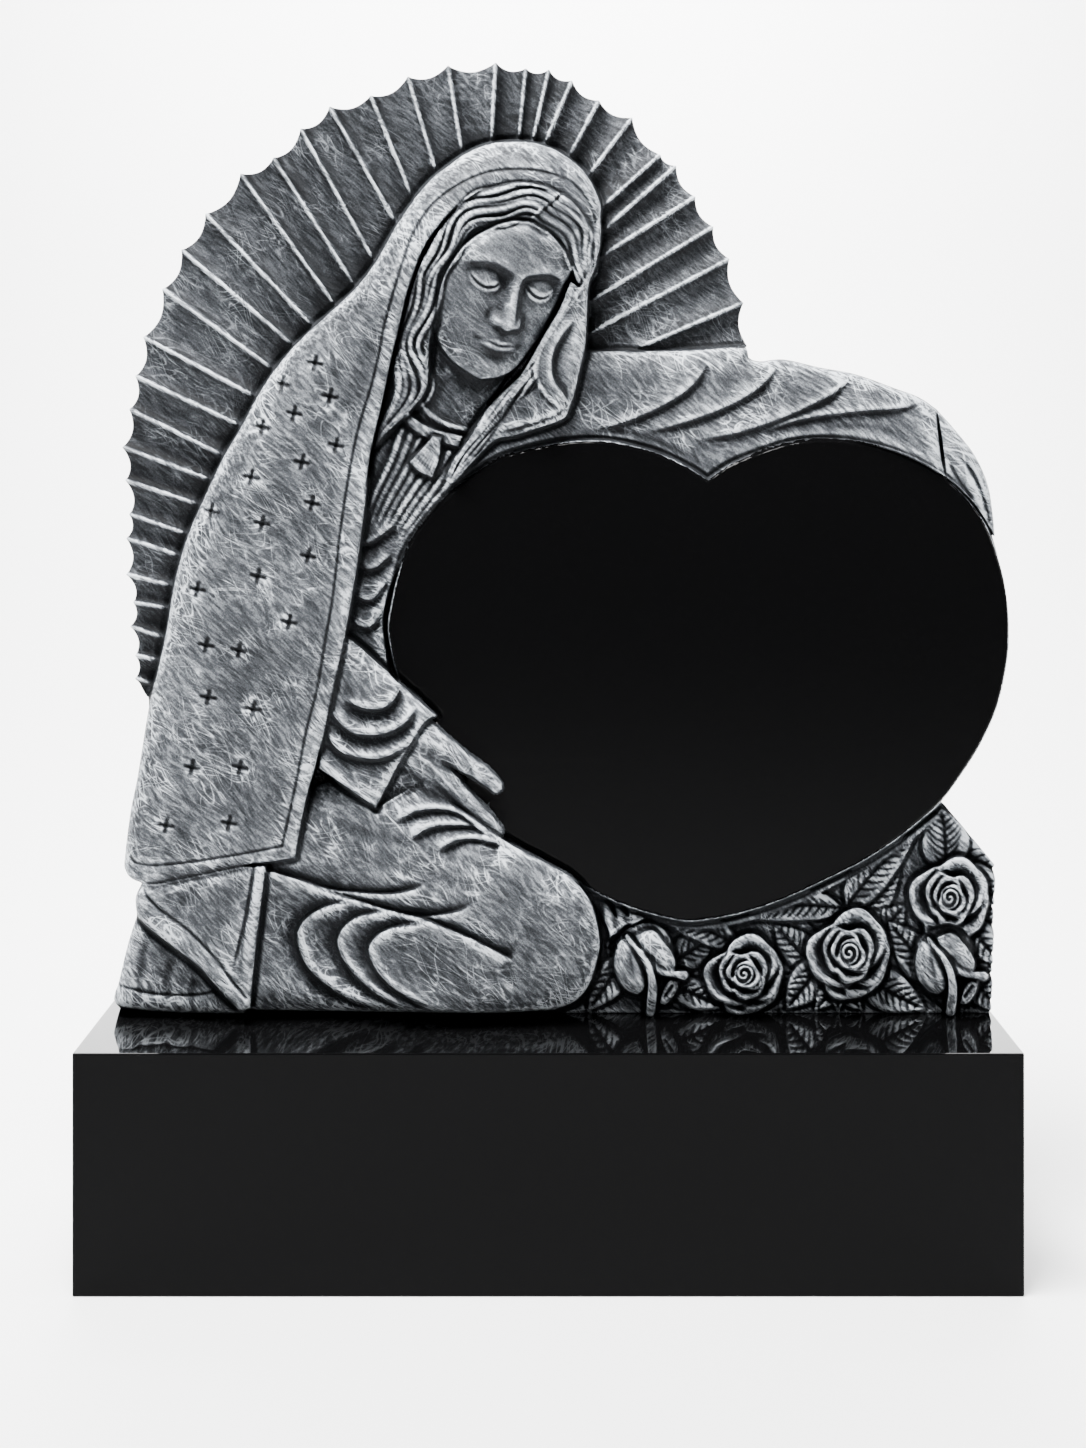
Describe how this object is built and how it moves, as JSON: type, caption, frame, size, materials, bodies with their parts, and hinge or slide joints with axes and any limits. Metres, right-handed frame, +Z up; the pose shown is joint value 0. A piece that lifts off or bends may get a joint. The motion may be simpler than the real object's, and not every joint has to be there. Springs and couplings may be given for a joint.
{
  "type": "carved headstone",
  "caption": "Black granite headstone: a relief-carved tablet of a kneeling veiled figure embracing a polished heart, with rays and roses, on a polished base block.",
  "frame": {"origin": "middle of the base block's underside, where it stands on the foundation or ground", "axes": "+Z up, the carved side faces -Y, +X to the right of someone who faces the carving"},
  "size_m": [0.9112, 0.3, 1.1923],
  "materials": {
    "carved_granite": "black granite, hand carved and left honed grey with light tool marks and dark recesses",
    "polished_granite": "fine-grained black granite, mirror polished, with faint grey specks"
  },
  "bodies": {
    "root": {"tablet": "carved_granite", "base": "polished_granite"}
  },
  "joints": []
}
